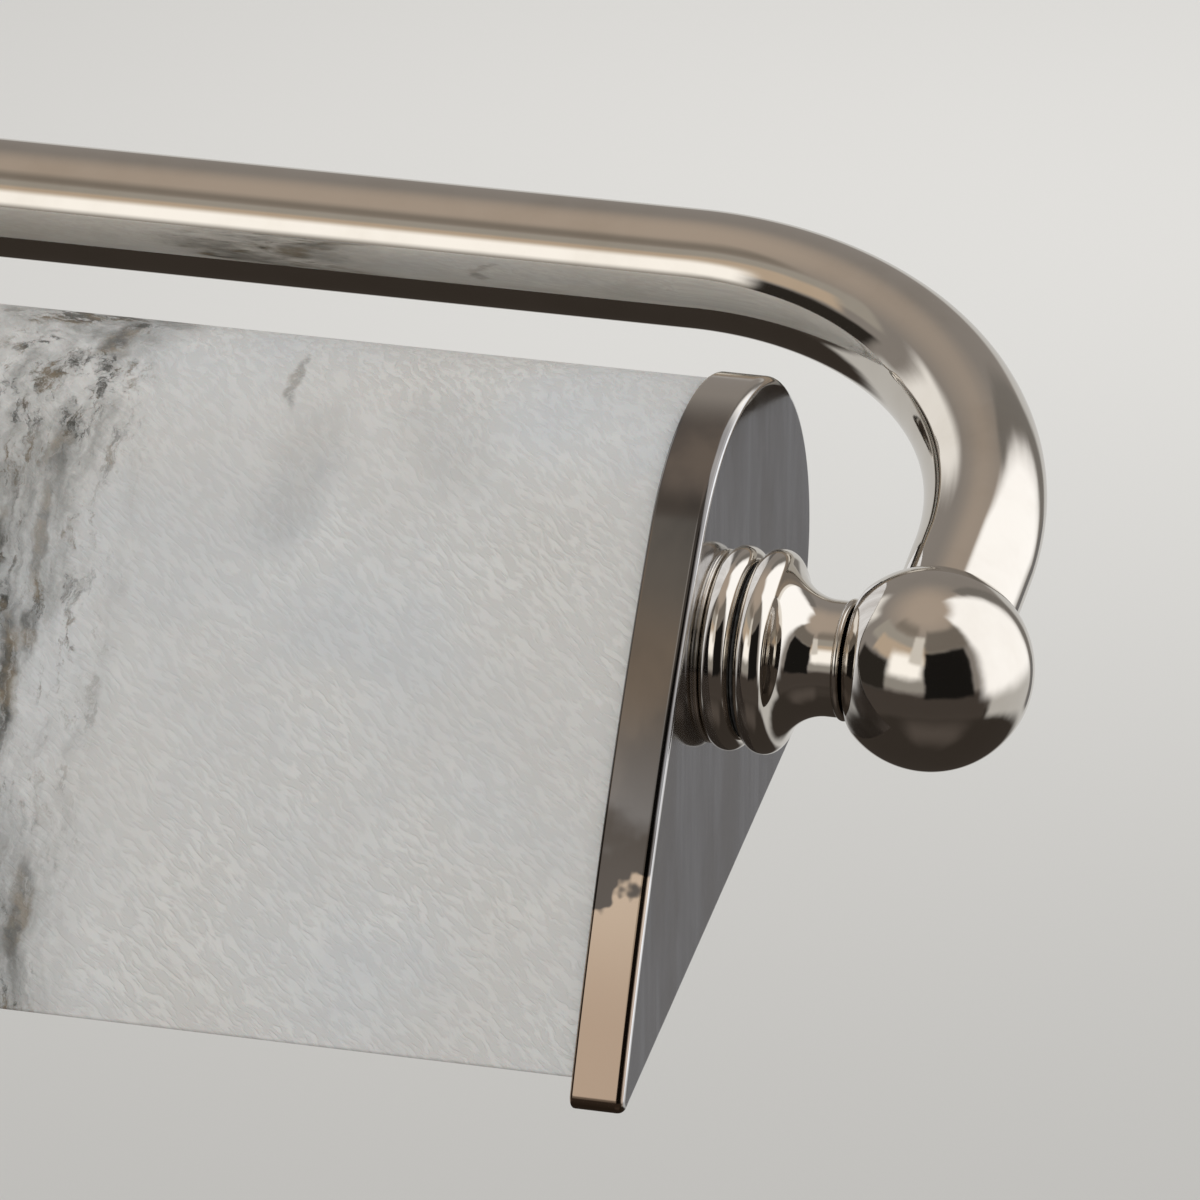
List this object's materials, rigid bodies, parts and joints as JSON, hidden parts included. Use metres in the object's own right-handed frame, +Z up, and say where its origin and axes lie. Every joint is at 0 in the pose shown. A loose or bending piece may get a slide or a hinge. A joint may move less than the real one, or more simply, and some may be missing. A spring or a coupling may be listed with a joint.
{
  "type": "picture light",
  "caption": "Wall picture light with a veined stone hood between metal end plates, tilting on swivels in a bent tube yoke on a wall arm.",
  "frame": {"origin": "centre of the two wall screw holes, on the wall", "axes": "+X along the hood to the right as seen from the room, +Y into the wall, +Z up"},
  "size_m": [0.421, 0.1639, 0.104],
  "materials": {
    "polished_nickel": "polished",
    "veined_stone": "honed",
    "zinc_steel": "satin",
    "brass": "satin",
    "white_enamel": "satin",
    "lampholder_ceramic": "gloss",
    "cap_metal": "satin",
    "lamp_glass": "gloss",
    "light_strip": "satin",
    "lead_sheath": "satin",
    "terminal_plastic": "matte",
    "pad_rubber": "matte"
  },
  "bodies": {
    "fixture": {"wall_rose": "polished_nickel", "wall_bracket": "zinc_steel", "bracket_studs": "zinc_steel", "cap_nuts": "polished_nickel", "terminal_block": "terminal_plastic", "terminal_screws": "brass", "earth_screw": "brass", "arm_tube": "polished_nickel", "arm_collar": "polished_nickel", "arm_washer": "zinc_steel", "arm_nut": "brass", "t_boss": "polished_nickel", "boss_set_screw": "zinc_steel", "yoke_tube": "polished_nickel", "yoke_ball_right": "polished_nickel", "yoke_ball_left": "polished_nickel", "swivel_neck_right": "polished_nickel", "swivel_neck_left": "polished_nickel", "pivot_nipple_right": "brass", "pivot_nipple_left": "brass", "friction_washers": "pad_rubber", "spring_washers": "zinc_steel", "pivot_nuts": "brass", "yoke_lead": "lead_sheath"},
    "hood": {"end_plate_right": "polished_nickel", "end_plate_left": "polished_nickel", "pivot_collar_right": "polished_nickel", "pivot_collar_left": "polished_nickel", "stone_hood": "veined_stone", "stone_pads": "pad_rubber", "tie_rods": "brass", "lamp_rail": "white_enamel", "rail_screws": "zinc_steel", "holder_bracket_right": "white_enamel", "holder_bracket_left": "white_enamel", "holder_screws": "zinc_steel", "lampholder_right": "lampholder_ceramic", "lampholder_left": "lampholder_ceramic", "holder_contacts": "brass", "lamp_cap_right": "cap_metal", "lamp_cap_left": "cap_metal", "lamp_glass_right": "lamp_glass", "lamp_glass_left": "lamp_glass", "lamp_filament_right": "light_strip", "lamp_filament_left": "light_strip", "shade_lead": "lead_sheath", "link_lead": "lead_sheath"}
  },
  "joints": [
    {"name": "hood_tilt", "type": "hinge", "parent": "fixture", "child": "hood", "pos_m": [0, -0.12968, -0.02061], "axis": [1, 0, 0], "range_deg": [-40, 60]}
  ]
}
